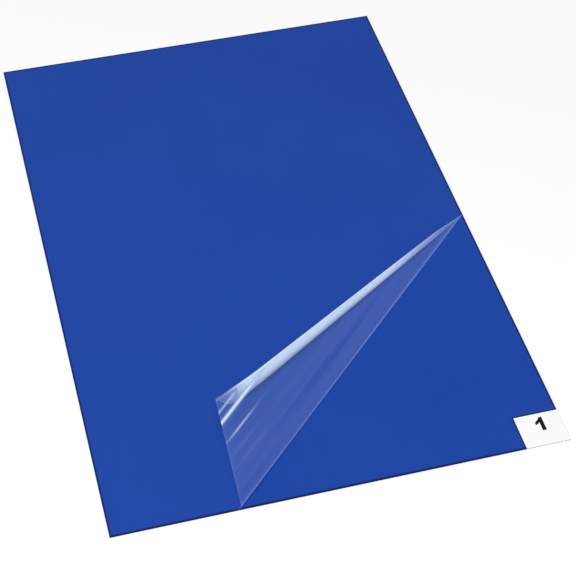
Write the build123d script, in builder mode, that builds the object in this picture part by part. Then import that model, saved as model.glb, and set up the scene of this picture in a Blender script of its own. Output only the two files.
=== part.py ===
from build123d import *
from math import ceil, cos, radians, sin, tan
import os

# A cleanroom sticky mat: thirty tacky blue polyethylene sheets in one thin stack,
# each with a white numbered tab at its lower right corner. Under the stack are the
# floor backing and its release film, and over it lies a clear cover film, peeled
# back from the numbered corner.
# Millimetres. X runs along the width, Y along the length and Z up, with the origin
# under the middle of the mat, on the floor.

# The mat and its layers
mat_width = 600
mat_length = 900
sheet_count = 30
sheet_thickness = 0.05
backing_thickness = 0.10
release_thickness = 0.05

# The white numbered tab on each sheet's corner
tab_width = 60
tab_length = 50
tab_thickness = 0.02

# The clear cover film, and where the peeled flap's fold meets the mat's edges
film_thickness = 0.05
fold_down_right_side = 478.6
fold_in_from_right = 440

# The flap's section at the bottom edge, which narrows to nothing at the other end
fold_radius = 2.2
flap_slope = 9
flap_run = 132
scroll_clearance = 0.8
scroll_pitch = 1
scroll_half_turns = 10
facet_turn = 30
narrow_end = 0.08

# Heights of the layers
backing_bottom = release_thickness
stack_bottom = backing_bottom + backing_thickness
stack_top = stack_bottom + sheet_count * sheet_thickness

os.makedirs("parts", exist_ok=True)


# The film on the underside that keeps the floor adhesive clean until the mat is laid
with BuildPart() as release_film:
    with BuildSketch():
        Rectangle(mat_width, mat_length)
    extrude(amount=release_thickness)

release_film.part.label = "release_film"
export_step(release_film.part, "parts/release_film.step")


# The plain sheet that the stack is stuck to, with the floor adhesive beneath it
with BuildPart() as backing_sheet:
    with BuildSketch(Plane.XY.offset(backing_bottom)):
        Rectangle(mat_width, mat_length)
    extrude(amount=backing_thickness)

backing_sheet.part.label = "backing_sheet"
export_step(backing_sheet.part, "parts/backing_sheet.step")


# The tab's outline, in the lower right corner of a sheet
def tab_outline(plane):
    with BuildSketch(plane) as outline:
        with Locations((mat_width / 2, -mat_length / 2)):
            Rectangle(tab_width, tab_length, align=(Align.MAX, Align.MIN))
    return outline.sketch


# One tacky sheet, with the shallow corner recess that its tab lies flush in
def tacky_sheet(top):
    with BuildPart() as sheet:
        with BuildSketch(Plane.XY.offset(top)):
            Rectangle(mat_width, mat_length)
        extrude(amount=-sheet_thickness)
        extrude(tab_outline(Plane.XY.offset(top)), amount=-tab_thickness, mode=Mode.SUBTRACT)
    return sheet.part


sheet_tops = [stack_top - index * sheet_thickness for index in range(sheet_count)]

for number, top in enumerate(sheet_tops, start=1):
    sheet_part = tacky_sheet(top)
    sheet_part.label = f"sheet_{number:02d}"
    export_step(sheet_part, f"parts/{sheet_part.label}.step")


# The tab of the first sheet, which shows
with BuildPart() as top_tab:
    extrude(tab_outline(Plane.XY.offset(sheet_tops[0])), amount=-tab_thickness)

top_tab.part.label = "number_tab_01"
export_step(top_tab.part, "parts/number_tab_01.step")


# The tabs of the sheets beneath it, one to a sheet
with BuildPart() as lower_tabs:
    for top in sheet_tops[1:]:
        extrude(tab_outline(Plane.XY.offset(top)), amount=-tab_thickness)

lower_tabs.part.label = "number_tabs_02_to_30"
export_step(lower_tabs.part, "parts/number_tabs_02_to_30.step")


# The cover film. Its fold runs from the right edge to the bottom edge, and past it
# the flap slopes back over the mat and curls under itself into a narrowing scroll,
# all of it a cone with its point where the fold meets the right edge.
fold_right_end = Vector(mat_width / 2, mat_length / 2 - fold_down_right_side, stack_top)
fold_bottom_end = Vector(mat_width / 2 - fold_in_from_right, -mat_length / 2, stack_top)
fold = fold_bottom_end - fold_right_end
fold_heading = fold.normalized()
toward_corner = Vector(0, 0, 1).cross(fold_heading)


def direction(heading):
    return Vector(cos(radians(heading)), sin(radians(heading)))


# The corners of a bend in straight facets that touch its arc, and the point where it ends
def bend(start, heading, radius, angle):
    facets = ceil(angle / facet_turn)
    turn = angle / facets
    half_facet = radius * tan(radians(turn / 2))
    corners = [start + direction(heading) * half_facet]
    for facet in range(1, facets):
        corners.append(corners[-1] + direction(heading + facet * turn) * half_facet * 2)
    end = corners[-1] + direction(heading + angle) * half_facet
    return corners, end


# The flap's line in section: round the fold, up the slope and into the scroll, whose
# corners just clear the flat film under the end of the slope
fold_turn = 180 - flap_slope
fold_corners, fold_end = bend(Vector(0, 0), 0, fold_radius, fold_turn)
flap_line = [Vector(0, 0), *fold_corners]
line_end = fold_end + direction(fold_turn) * flap_run
facet_corner = 1 / cos(radians(facet_turn / 2))
scroll_radius = (line_end.Y - scroll_clearance) / (cos(radians(flap_slope)) + facet_corner)
for half_turn in range(scroll_half_turns):
    radius = scroll_radius - half_turn * scroll_pitch / 2
    corners, line_end = bend(line_end, fold_turn + half_turn * 180, radius, 180)
    flap_line += corners
flap_line.append(line_end)


# The flap's section across the fold, at a share of the fold's length from its right end
def flap_section(share):
    plane = Plane(fold_right_end + fold * share, x_dir=toward_corner, z_dir=fold_heading)
    with BuildSketch(plane) as section:
        with BuildLine():
            Polyline(*[(point.X * share, point.Y * share + film_thickness / 2) for point in flap_line])
        trace(line_width=film_thickness)
    return section.sketch.face()


# The film's bottom edge, folded over: seen from above it leaves the fold on a line that
# mirrors the mat's bottom edge, drawn in a little by the slope
edge_along_fold = -fold_heading.X
edge_across_fold = toward_corner.X
fold_arc = fold_radius * radians(fold_turn)
edge_leaves_fold = fold_bottom_end - fold_heading * (fold_arc * edge_along_fold / edge_across_fold)
edge_heading = (
    -fold_heading * edge_along_fold
    + toward_corner * edge_across_fold * cos(radians(fold_turn))
)
edge_far_end = edge_leaves_fold + edge_heading * mat_length

with BuildPart() as flap:
    loft(sections=[flap_section(narrow_end), flap_section(1)], ruled=True)
    with BuildSketch(Plane.XY):
        with BuildLine():
            Polyline(
                (fold_bottom_end.X, fold_bottom_end.Y),
                (edge_leaves_fold.X, edge_leaves_fold.Y),
                (edge_far_end.X, edge_far_end.Y),
                (mat_width / 2, mat_length / 2),
                (mat_width / 2, -mat_length / 2),
                close=True,
            )
        make_face()
    extrude(amount=flap_run, mode=Mode.INTERSECT)

with BuildPart() as cover_film:
    with BuildSketch(Plane.XY.offset(stack_top)):
        with BuildLine():
            Polyline(
                (-mat_width / 2, mat_length / 2),
                (mat_width / 2, mat_length / 2),
                (fold_right_end.X, fold_right_end.Y),
                (fold_bottom_end.X, fold_bottom_end.Y),
                (-mat_width / 2, -mat_length / 2),
                close=True,
            )
        make_face()
    extrude(amount=film_thickness)
    add(flap.part)

cover_film.part.label = "cover_film"
export_step(cover_film.part, "parts/cover_film.step")
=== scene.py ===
import bpy
from math import cos, pi, radians, sin, sqrt
from mathutils import Matrix, Vector


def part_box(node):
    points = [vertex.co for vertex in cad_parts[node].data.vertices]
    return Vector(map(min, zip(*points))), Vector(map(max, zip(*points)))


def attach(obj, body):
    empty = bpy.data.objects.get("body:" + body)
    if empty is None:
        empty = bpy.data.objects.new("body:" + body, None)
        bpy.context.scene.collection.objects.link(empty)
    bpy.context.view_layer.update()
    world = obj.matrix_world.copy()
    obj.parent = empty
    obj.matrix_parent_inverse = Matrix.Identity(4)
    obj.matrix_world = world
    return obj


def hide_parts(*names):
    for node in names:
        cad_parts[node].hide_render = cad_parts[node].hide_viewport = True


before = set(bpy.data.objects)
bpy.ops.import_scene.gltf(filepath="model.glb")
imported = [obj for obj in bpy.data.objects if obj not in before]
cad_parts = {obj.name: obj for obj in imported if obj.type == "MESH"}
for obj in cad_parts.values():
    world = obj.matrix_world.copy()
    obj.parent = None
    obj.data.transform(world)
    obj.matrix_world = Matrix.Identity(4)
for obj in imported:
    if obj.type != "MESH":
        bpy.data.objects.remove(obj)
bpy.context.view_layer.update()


# The release film under the mat: thin milky polyethylene with a silicone coat, cut to the
# size of the mat. It covers the floor adhesive and comes off when the mat is laid.
class Signal:
    """One value in a finish, which takes part in sums like a number."""

    def __init__(self, finish, socket):
        self.finish = finish
        self.socket = socket

    def __add__(self, other):
        return self.finish.math("ADD", self, other)

    def __radd__(self, other):
        return self.finish.math("ADD", other, self)

    def __sub__(self, other):
        return self.finish.math("SUBTRACT", self, other)

    def __rsub__(self, other):
        return self.finish.math("SUBTRACT", other, self)

    def __mul__(self, other):
        return self.finish.math("MULTIPLY", self, other)

    def __rmul__(self, other):
        return self.finish.math("MULTIPLY", other, self)

    def __truediv__(self, other):
        return self.finish.math("DIVIDE", self, other)

    def __rtruediv__(self, other):
        return self.finish.math("DIVIDE", other, self)


class Finish:
    """A material, built up node by node."""

    def __init__(self, name):
        self.material = bpy.data.materials.new(name)
        self.material.use_nodes = True
        self.tree = self.material.node_tree
        self.tree.nodes.clear()

    def node(self, kind, settings=None, inputs=None, output=0):
        """A node of a kind, with its settings made first and then its sockets filled."""
        made = self.tree.nodes.new(kind)
        for name, value in (settings or {}).items():
            setattr(made, name, value)
        for name, value in (inputs or {}).items():
            if isinstance(value, Signal):
                self.tree.links.new(value.socket, made.inputs[name])
            else:
                made.inputs[name].default_value = value
        return Signal(self, made.outputs[output]) if made.outputs else None

    def math(self, operation, *values):
        return self.node("ShaderNodeMath", {"operation": operation}, dict(enumerate(values)))

    def place(self):
        return self.node("ShaderNodeTexCoord", output="Object")

    def grain(self, scale, stretch=(1, 1, 1), detail=2):
        """Soft noise between 0 and 1, with its scale in features to the metre."""
        place = self.node(
            "ShaderNodeVectorMath", {"operation": "MULTIPLY"}, {0: self.place(), 1: stretch}
        )
        return self.node(
            "ShaderNodeTexNoise", None, {"Vector": place, "Scale": scale, "Detail": detail}
        )

    def mix_colours(self, amount, first, second):
        return self.node(
            "ShaderNodeMix", {"data_type": "RGBA"}, {0: amount, 6: first, 7: second}, output=2
        )

    def relief(self, height, strength, depth=0.0001):
        """A fine relief in the surface, from a height between 0 and 1 and its depth."""
        return self.node(
            "ShaderNodeBump", None, {"Strength": strength, "Distance": depth, "Height": height}
        )

    def principled(self, inputs):
        return self.node("ShaderNodeBsdfPrincipled", None, inputs)

    def output(self, shader):
        self.node("ShaderNodeOutputMaterial", None, {"Surface": shader})
        return self.material


def colour(red, green, blue):
    """A colour from its numbers on a screen, 0 to 255, as the shaders take it."""
    return (*(((c / 255 + 0.055) / 1.055) ** 2.4 for c in (red, green, blue)), 1)


def dress(node_name, material):
    for material_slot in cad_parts[node_name].material_slots:
        material_slot.material = material


release = Finish("silicone coated release film")
release_cloud = release.grain(9)
release_lines = release.grain(60, stretch=(1, 0.05, 1))
release_surface = release.principled(
    {
        "Base Color": release.mix_colours(
            release_cloud, colour(206, 212, 214), colour(222, 227, 228)
        ),
        "Roughness": 0.3 + release_cloud * 0.15,
        "Normal": release.relief(release_lines, 0.2),
    }
)
dress("release_film", release.output(release_surface))


# The backing: the one plain sheet of the mat, blue polyethylene twice as thick as the
# tacky ones, with a permanent adhesive on its underside.
backing = Finish("plain blue polyethylene backing")
backing_cloud = backing.grain(12)
backing_surface = backing.principled(
    {
        "Base Color": backing.mix_colours(
            backing_cloud, colour(20, 42, 118), colour(25, 50, 132)
        ),
        "Roughness": 0.35 + backing_cloud * 0.15,
    }
)
dress("backing_sheet", backing.output(backing_surface))


# The thirty tacky sheets: blue polyethylene, each with a clear tacky coat rolled on along
# its length, pressed together into one stack and trimmed. Their cut edges are painted much
# darker than the faces, as painted shade.
mat_low, mat_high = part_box("sheet_01")
tab_low, tab_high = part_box("number_tab_01")
tacky = Finish("blue tacky polyethylene")
coat_lines = tacky.grain(160, stretch=(1, 0.02, 1), detail=3)
coat_cloud = tacky.grain(5, detail=3)
tacky_face = tacky.mix_colours(
    coat_cloud * 0.7 + coat_lines * 0.3, colour(25, 62, 153), colour(32, 72, 162)
)


def axis_of(vector, axis):
    return vector.finish.node("ShaderNodeSeparateXYZ", None, {"Vector": vector}, output=axis)


def ramp(signal, low, high):
    """Smooth change from 0 at the low value to 1 at the high one."""
    return signal.finish.node(
        "ShaderNodeMapRange",
        {"interpolation_type": "SMOOTHSTEP"},
        {"Value": signal, "From Min": low, "From Max": high},
    )


# Painted shade: the sheets are painted darker in a narrow line along their border, and a painted
# shadow runs round the tab.
rim_inside = 0.0010
rim_outside = 0.0036
tab_line_inside = 0.0008
tab_line_outside = 0.0030
painted_shade_depth = 0.9
tab_margin = 0.0002
across = axis_of(tacky.place(), "X")
lengthwise = axis_of(tacky.place(), "Y")
to_side = mat_high.x - tacky.math("ABSOLUTE", across)
to_end = mat_high.y - tacky.math("ABSOLUTE", lengthwise)
rim_shade = 1 - ramp(tacky.math("MINIMUM", to_side, to_end), rim_inside, rim_outside)
from_tab = tacky.math("MAXIMUM", tab_low.x - across, lengthwise - tab_high.y)
tab_shadow = 1 - ramp(from_tab, tab_line_inside, tab_line_outside)
face_with_painted_shade = tacky.mix_colours(
    tacky.math("MAXIMUM", rim_shade, tab_shadow) * painted_shade_depth, tacky_face, colour(12, 26, 84)
)

# Painted shade on the cut edge: navy, and pale grey beside the tabs, whose white paper shows in
# it.
by_tab = ramp(across, tab_low.x - tab_margin, tab_low.x) * (
    1 - ramp(lengthwise, tab_high.y, tab_high.y + tab_margin)
)
shaded_edge_paint = tacky.mix_colours(by_tab, colour(16, 30, 84), colour(124, 128, 134))
facing = axis_of(tacky.node("ShaderNodeNewGeometry", output="Normal"), "Z")
cut_edge = 1 - tacky.math("ABSOLUTE", facing)
coat_height = tacky.grain(700) * 0.5 + coat_lines
tacky_surface = tacky.principled(
    {
        "Base Color": tacky.mix_colours(cut_edge, face_with_painted_shade, shaded_edge_paint),
        "Roughness": 0.34 + coat_cloud * 0.12,
        "Specular IOR Level": 0.06,
        "Normal": tacky.relief(coat_height, 0.15),
    }
)
tacky_material = tacky.output(tacky_surface)
for node_name in sorted(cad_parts):
    if node_name.startswith("sheet_"):
        dress(node_name, tacky_material)


# The numbered tabs: a small white printed label in the corner of every sheet, by which
# the sheet is lifted. The numbers count the sheets from the top one down.
paper = Finish("white tab film")
paper_cloud = paper.grain(40)
paper_surface = paper.principled(
    {
        "Base Color": paper.mix_colours(
            paper_cloud, colour(241, 242, 240), colour(247, 248, 246)
        ),
        "Roughness": 0.5 + paper_cloud * 0.1,
        "Normal": paper.relief(paper.grain(900, detail=3), 0.2),
    }
)
paper_material = paper.output(paper_surface)
dress("number_tab_01", paper_material)
dress("number_tabs_02_to_30", paper_material)

# The numeral printed on the top tab: a plain bold figure one. It is a skin of black ink,
# a few hundredths of a millimetre over the white film.
numeral_height = 0.0215
numeral_stem = 0.0054
numeral_reach = 0.0112
numeral_right = 0.2760
numeral_foot = -0.4276
ink_lift = 0.00003
numeral_top = numeral_foot + numeral_height
ink_top = tab_high.z + ink_lift

# Each point of its outline is so far left of its right side and so far below its top.
numeral_outline = [
    (0, numeral_height),
    (0, 0),
    (numeral_stem * 0.76, 0),
    (numeral_stem, 0.0028),
    (numeral_reach * 0.76, 0.0052),
    (numeral_reach, 0.0070),
    (numeral_reach, 0.0116),
    (numeral_reach * 0.74, 0.0104),
    (numeral_stem, 0.0082),
    (numeral_stem, numeral_height),
]
numeral_mesh = bpy.data.meshes.new("numeral")
numeral_mesh.from_pydata(
    [(numeral_right - left, numeral_top - below, ink_top) for left, below in numeral_outline],
    [],
    [tuple(range(len(numeral_outline)))[::-1]],
)
numeral = bpy.data.objects.new("numeral", numeral_mesh)
bpy.context.scene.collection.objects.link(numeral)
ink = Finish("black ink")
ink_cloud = ink.grain(400, detail=4)
ink_surface = ink.principled(
    {
        "Base Color": ink.mix_colours(ink_cloud, colour(8, 8, 9), colour(16, 16, 18)),
        "Roughness": 0.4 + ink_cloud * 0.2,
        "Specular IOR Level": 0.2,
    }
)
numeral_mesh.materials.append(ink.output(ink_surface))
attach(numeral, "root")


# The cover film: one clear polyethylene film as large as the mat. It is peeled back from
# the numbered corner, so it folds over on a line from the right edge to the bottom edge,
# slopes up over the mat and curls under itself into a loose scroll.
film_thickness = 0.00005
fold_down_right_side = 0.4786
fold_in_from_right = 0.440
film_height = mat_high.z + film_thickness
fold_right_end = Vector((mat_high.x, mat_high.y - fold_down_right_side, 0))
fold_near_end = Vector((mat_high.x - fold_in_from_right, mat_low.y, 0))
corner = Vector((mat_high.x, mat_low.y, 0))
along_fold = (fold_near_end - fold_right_end).normalized()
over_mat = Vector((along_fold.y, -along_fold.x, 0))
right_edge = corner - fold_right_end
fold_length = (fold_near_end - fold_right_end).length
corner_angle = along_fold.angle(right_edge)

# Every line along the flap runs from the fold's right end, so an angle from the fold and a
# distance from that end give each point of the film.
fold_radius = 0.0022
arc_angle = fold_radius * pi / fold_length
rise_angle = radians(11.55)
scroll_angle = arc_angle + rise_angle
fold_steps = 12
rise_steps = 20
length_steps = 60


def flat_place(distance, angle, rolled_up=0):
    """Where a point of the peeled film lay on the mat before it was peeled."""
    heading = along_fold * cos(angle) - over_mat * sin(angle)
    inward = along_fold * -sin(angle) - over_mat * cos(angle)
    return fold_right_end + heading * distance + inward * rolled_up


scroll_growth = 0.0137
scroll_point_radius = 0.0028
scroll_point_length = 0.06


def scroll_radius(distance):
    """The scroll's radius, which grows along it."""
    return scroll_growth * distance + scroll_point_radius * min(1, distance / scroll_point_length)


mouth_start = 0.425
mouth_length = 0.085
mouth_opening = 0.0050


def opening(distance):
    """How far the film draws out over the mat toward the scroll's near end."""
    share = min(max((distance - mouth_start) / mouth_length, 0), 1)
    return mouth_opening * share ** 1.5


halvings = 30


def last_good(good, bad, test):
    """The last distance at which a test holds, on the way from a good one to a bad one."""
    for _ in range(halvings):
        middle = (good + bad) / 2
        if test(middle):
            good = middle
        else:
            bad = middle
    return good


# The fold is a half turn, and gets narrower toward its right end.
rows = []
for step in range(fold_steps + 1):
    share = step / fold_steps
    row_end = right_edge.length / cos(corner_angle - arc_angle * share)
    row = []
    for column in range(length_steps + 1):
        distance = row_end * column / length_steps
        radius = fold_radius * distance / fold_length
        place = fold_right_end + along_fold * distance - over_mat * radius * sin(pi * share)
        place.z = film_height + radius * (1 - cos(pi * share))
        row.append((place, flat_place(distance, arc_angle * share), 0))
    rows.append(row)

# The flap rises from the fold to the top of the scroll.
for step in range(1, rise_steps + 1):
    share = step / rise_steps
    angle = rise_angle * share
    heading = along_fold * cos(angle) + over_mat * sin(angle)
    beyond = over_mat * cos(angle) - along_fold * sin(angle)
    row_end = last_good(
        0,
        fold_length,
        lambda d: flat_place(d, arc_angle + angle, opening(d) * share).y >= mat_low.y,
    )
    row = []
    for column in range(length_steps + 1):
        distance = row_end * column / length_steps
        low = 2 * fold_radius * distance / fold_length
        high = 2 * scroll_radius(distance)
        drawn_out = opening(distance) * share
        place = fold_right_end + heading * distance + beyond * drawn_out
        place.z = film_height + low + (high - low) * share
        row.append((place, flat_place(distance, arc_angle + angle, drawn_out), 0))
    rows.append(row)

# The scroll goes on from the flap's last row, over its far side and under itself, one row
# to each step of its turning, until the peeled corner is rolled up.
scroll_step = radians(12)
scroll_closing = 0.0052
scroll_axis = along_fold * cos(rise_angle) + over_mat * sin(rise_angle)
scroll_side = over_mat * cos(rise_angle) - along_fold * sin(rise_angle)
corner_in = right_edge.length * sin(corner_angle - scroll_angle)
corner_along = right_edge.length * cos(corner_angle - scroll_angle)
corner_turned = (
    1 - sqrt(1 - 4 * scroll_closing * corner_in / scroll_radius(corner_along))
) / (2 * scroll_closing)


def rolled(distance, turned):
    """How much film is rolled up after some turning, at a distance along the scroll."""
    return scroll_radius(distance) * (turned - scroll_closing * turned ** 2)


def flat_in_scroll(distance, turned):
    return flat_place(distance, scroll_angle, opening(distance) + rolled(distance, turned))


for step in range(1, int(corner_turned / scroll_step) + 1):
    turned = scroll_step * step
    start = last_good(corner_along, 0, lambda d: flat_in_scroll(d, turned).x <= mat_high.x)
    end = last_good(
        corner_along, fold_length, lambda d: flat_in_scroll(d, turned).y >= mat_low.y
    )
    row = []
    for column in range(length_steps + 1):
        distance = start + (end - start) * column / length_steps
        radius = scroll_radius(distance)
        inner = radius * (1 - 2 * scroll_closing * turned)
        place = fold_right_end + scroll_axis * distance
        place += scroll_side * (opening(distance) + inner * sin(turned))
        place.z = film_height + radius + inner * cos(turned)
        row.append((place, flat_in_scroll(distance, turned), turned / (2 * pi)))
    rows.append(row)

verts = [point for row in rows for point in row]
faces = []
for row in range(len(rows) - 1):
    for column in range(length_steps):
        index = row * (length_steps + 1) + column
        faces.append((index, index + 1, index + length_steps + 2, index + length_steps + 1))

# The rest of the film still lies flat on the top sheet.
laid = [
    Vector((mat_low.x, mat_high.y, 0)),
    Vector((mat_low.x, mat_low.y, 0)),
    fold_near_end,
    fold_right_end,
    Vector((mat_high.x, mat_high.y, 0)),
]
faces.append(tuple(range(len(verts), len(verts) + len(laid))))
verts += [(place + Vector((0, 0, film_height)), place, 0) for place in laid]

film_mesh = bpy.data.meshes.new("clear_cover_film")
film_mesh.from_pydata([place for place, _, _ in verts], [], faces)
flat_map = film_mesh.uv_layers.new(name="film laid flat")
turn_map = film_mesh.uv_layers.new(name="turns of the scroll")
for loop in film_mesh.loops:
    _, flat, turn = verts[loop.vertex_index]
    flat_map.data[loop.index].uv = flat.xy
    turn_map.data[loop.index].uv = (turn, 0)
film_mesh.shade_smooth()
film = bpy.data.objects.new("clear_cover_film", film_mesh)
bpy.context.scene.collection.objects.link(film)

# The film's finish is worked out on the film as it lay flat: how far a point is down the
# fold and in from it, how far it is down the scroll, and how many turns it is rolled.
clear = Finish("clear polyethylene cover film")
film_place = clear.node("ShaderNodeUVMap", {"uv_map": "film laid flat"})
turns = axis_of(clear.node("ShaderNodeUVMap", {"uv_map": "turns of the scroll"}), "X")


def measured_along(direction):
    """How far a point of the flat film is from the fold's right end in one direction."""
    offset = clear.node(
        "ShaderNodeVectorMath", {"operation": "SUBTRACT"}, {0: film_place, 1: fold_right_end}
    )
    return clear.node(
        "ShaderNodeVectorMath",
        {"operation": "DOT_PRODUCT"},
        {0: offset, 1: direction},
        output="Value",
    )


def bell(signal, middle, width):
    """One at the middle, fading to nothing on both sides."""
    away = (signal - middle) / width
    return clear.math("EXPONENT", away * away * -1)


# The mouth is the open near end of the scroll, and the narrow part is its right end.
down_fold = measured_along(along_fold)
in_from_fold = measured_along(-over_mat)
down_scroll = measured_along(along_fold * cos(scroll_angle) - over_mat * sin(scroll_angle))
beyond_near_edge = axis_of(film_place, "Y") - mat_low.y
peeled = ramp(in_from_fold, low=-0.0002, high=0.0006)
in_scroll = ramp(turns, low=0.0, high=0.04)
mouth = ramp(down_scroll, low=0.448, high=0.492)
narrow_part = 1 - ramp(down_scroll, low=0.035, high=0.190)


def painted_band_at(inward, width, down, length):
    """A band of painted highlight or shade along the fold, so far in from it and so far down it,
    fading at its ends.
    """
    return bell(in_from_fold, inward, width) * bell(down_fold, down, length)


# Painted highlights on creases, streaks, the fold and the cut edge; painted shade in a hollow.
crease_highlight = painted_band_at(inward=0.0676, width=0.0015, down=0.503, length=0.034)
first_soft_crease_highlight = painted_band_at(inward=0.038, width=0.0030, down=0.520, length=0.040)
second_soft_crease_highlight = painted_band_at(inward=0.051, width=0.0024, down=0.525, length=0.030)
hollow_shade = painted_band_at(inward=0.0255, width=0.0050, down=0.32, length=0.11)
mouth_crease_highlight = bell(in_from_fold, middle=0.0890, width=0.0025) * ramp(
    down_fold, low=0.400, high=0.460
)
lip_highlight = bell(in_from_fold, middle=0.1000, width=0.0016) * ramp(
    down_fold, low=0.450, high=0.475
)
fold_middle_angle = 0.0057
fold_highlight = bell(in_from_fold - down_fold * fold_middle_angle, middle=0, width=0.0020)
edge_glint = 1 - ramp(beyond_near_edge, low=0.0, high=0.0025)
streaks_to_metre_along = 4
streaks_to_metre_across = 260
streak_place = clear.node(
    "ShaderNodeCombineXYZ",
    None,
    {"X": down_fold * streaks_to_metre_along, "Y": in_from_fold * streaks_to_metre_across},
)
sheen_streaks = clear.node(
    "ShaderNodeTexNoise", None, {"Vector": streak_place, "Scale": 1.0, "Detail": 3.0}
)

# The haze is how much of the film shows over what lies under it: hardly any where it lies
# on the mat, a little on the flap, and most in the scroll, where it is many layers thick.
# On the flap and the scroll it also carries painted highlights.
plain_haze = 0.105
flap_haze_and_highlights = (
    plain_haze
    + (sheen_streaks - 0.5) * 0.14
    + crease_highlight * 0.36
    + mouth_crease_highlight * 0.75
    + lip_highlight * 0.30
    + (first_soft_crease_highlight + second_soft_crease_highlight) * 0.07
    - hollow_shade * 0.05
    + fold_highlight * 0.34
    + edge_glint * 0.10
)
laid_haze = 0.006
scroll_haze_and_highlight = in_scroll * (0.74 - mouth * 0.67 - narrow_part * 0.67)
gloss = clear.node("ShaderNodeFresnel", None, {"IOR": 1.4})
peeled_gloss = peeled * gloss * (0.6 - in_scroll * (0.40 + mouth * 0.12))
most_shown = 0.92
shown = clear.math(
    "MINIMUM", laid_haze + peeled * flap_haze_and_highlights + scroll_haze_and_highlight + peeled_gloss, most_shown
)
# Painted highlights: the creases, and the scroll with its many layers, are painted a paler,
# brighter blue.
highlight_and_layers = clear.math(
    "MAXIMUM",
    crease_highlight + mouth_crease_highlight + lip_highlight,
    in_scroll * (1 - narrow_part * 0.85 - mouth * 0.60),
)
seen = clear.principled(
    {
        "Base Color": clear.mix_colours(highlight_and_layers, colour(142, 168, 250), colour(220, 240, 255)),
        "Roughness": 0.22,
        "Specular IOR Level": 0.5,
    }
)
through = clear.node("ShaderNodeBsdfTransparent")
film_mesh.materials.append(
    clear.output(clear.node("ShaderNodeMixShader", None, {0: shown, 1: through, 2: seen}))
)
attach(film, "root")
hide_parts("cover_film")


# The floor that the mat lies on: plain and pale, and wide enough to fill the picture. The
# camera sees half of it as plain white and half as lit, so that it keeps the mat's shadow.
floor_reach = 6
white_share = 0.5
floor_mesh = bpy.data.meshes.new("floor")
floor_mesh.from_pydata(
    [
        (-floor_reach, -floor_reach, 0),
        (floor_reach, -floor_reach, 0),
        (floor_reach, floor_reach, 0),
        (-floor_reach, floor_reach, 0),
    ],
    [],
    [(0, 1, 2, 3)],
)
floor = bpy.data.objects.new("floor", floor_mesh)
bpy.context.scene.collection.objects.link(floor)
pale = Finish("pale floor")
camera_ray = pale.node("ShaderNodeLightPath", output="Is Camera Ray")
lit_floor = pale.node("ShaderNodeBsdfDiffuse", None, {"Color": (0.95, 0.95, 0.95, 1)})
white_floor = pale.node("ShaderNodeEmission", None, {"Color": (1, 1, 1, 1), "Strength": 1.0})
floor_mesh.materials.append(
    pale.output(
        pale.node(
            "ShaderNodeMixShader",
            None,
            {0: camera_ray * white_share, 1: lit_floor, 2: white_floor},
        )
    )
)


# The studio's soft light: an even surround, a key lamp on the left and a weaker lamp in
# front. Both lamps shine at the middle of the mat, with their power in watts.
surround_strength = 0.42
world = bpy.data.worlds.new("studio")
bpy.context.scene.world = world
world.use_nodes = True
surround = world.node_tree.nodes["Background"]
surround.inputs["Color"].default_value = (1, 1, 1, 1)
surround.inputs["Strength"].default_value = surround_strength


def lamp(name, place, size, power):
    """A round soft lamp that shines at the middle of the mat."""
    light = bpy.data.lights.new(name, "AREA")
    light.shape = "DISK"
    light.size = size
    light.energy = power
    made = bpy.data.objects.new(name, light)
    made.location = place
    made.rotation_euler = (-Vector(place)).to_track_quat("-Z", "Y").to_euler()
    bpy.context.scene.collection.objects.link(made)


lamp("key", place=(-4.0, -1.9, 3.8), size=1.4, power=192)
lamp("front", place=(0.8, -1.8, 3.6), size=1.8, power=52)


# The camera stands where the photo was taken from, as the mat's four corners show: in
# front of the mat and a little to its left, and tilted a little.
azimuth = radians(-15.9993)
elevation = radians(47.4780)
roll = radians(1.3358)
camera_distance = 2.21624
aim = Vector((0.01622, -0.10674, mat_high.z))
focal_length_in_pixels = 1594.59
picture_width_in_pixels = 576
back = Vector(
    (sin(azimuth) * cos(elevation), -cos(azimuth) * cos(elevation), sin(elevation))
)
level_right = Vector((0, 0, 1)).cross(back).normalized()
level_up = back.cross(level_right)
camera_right = level_right * cos(roll) + level_up * sin(roll)
camera_up = level_up * cos(roll) - level_right * sin(roll)
lens = bpy.data.cameras.new("camera")
lens.sensor_width = 36
lens.lens = focal_length_in_pixels / picture_width_in_pixels * lens.sensor_width
camera = bpy.data.objects.new("camera", lens)
camera.matrix_world = Matrix.Translation(aim + back * camera_distance) @ Matrix(
    (camera_right, camera_up, back)
).transposed().to_4x4()
bpy.context.scene.collection.objects.link(camera)
bpy.context.scene.camera = camera
bpy.context.scene.view_settings.view_transform = "Standard"
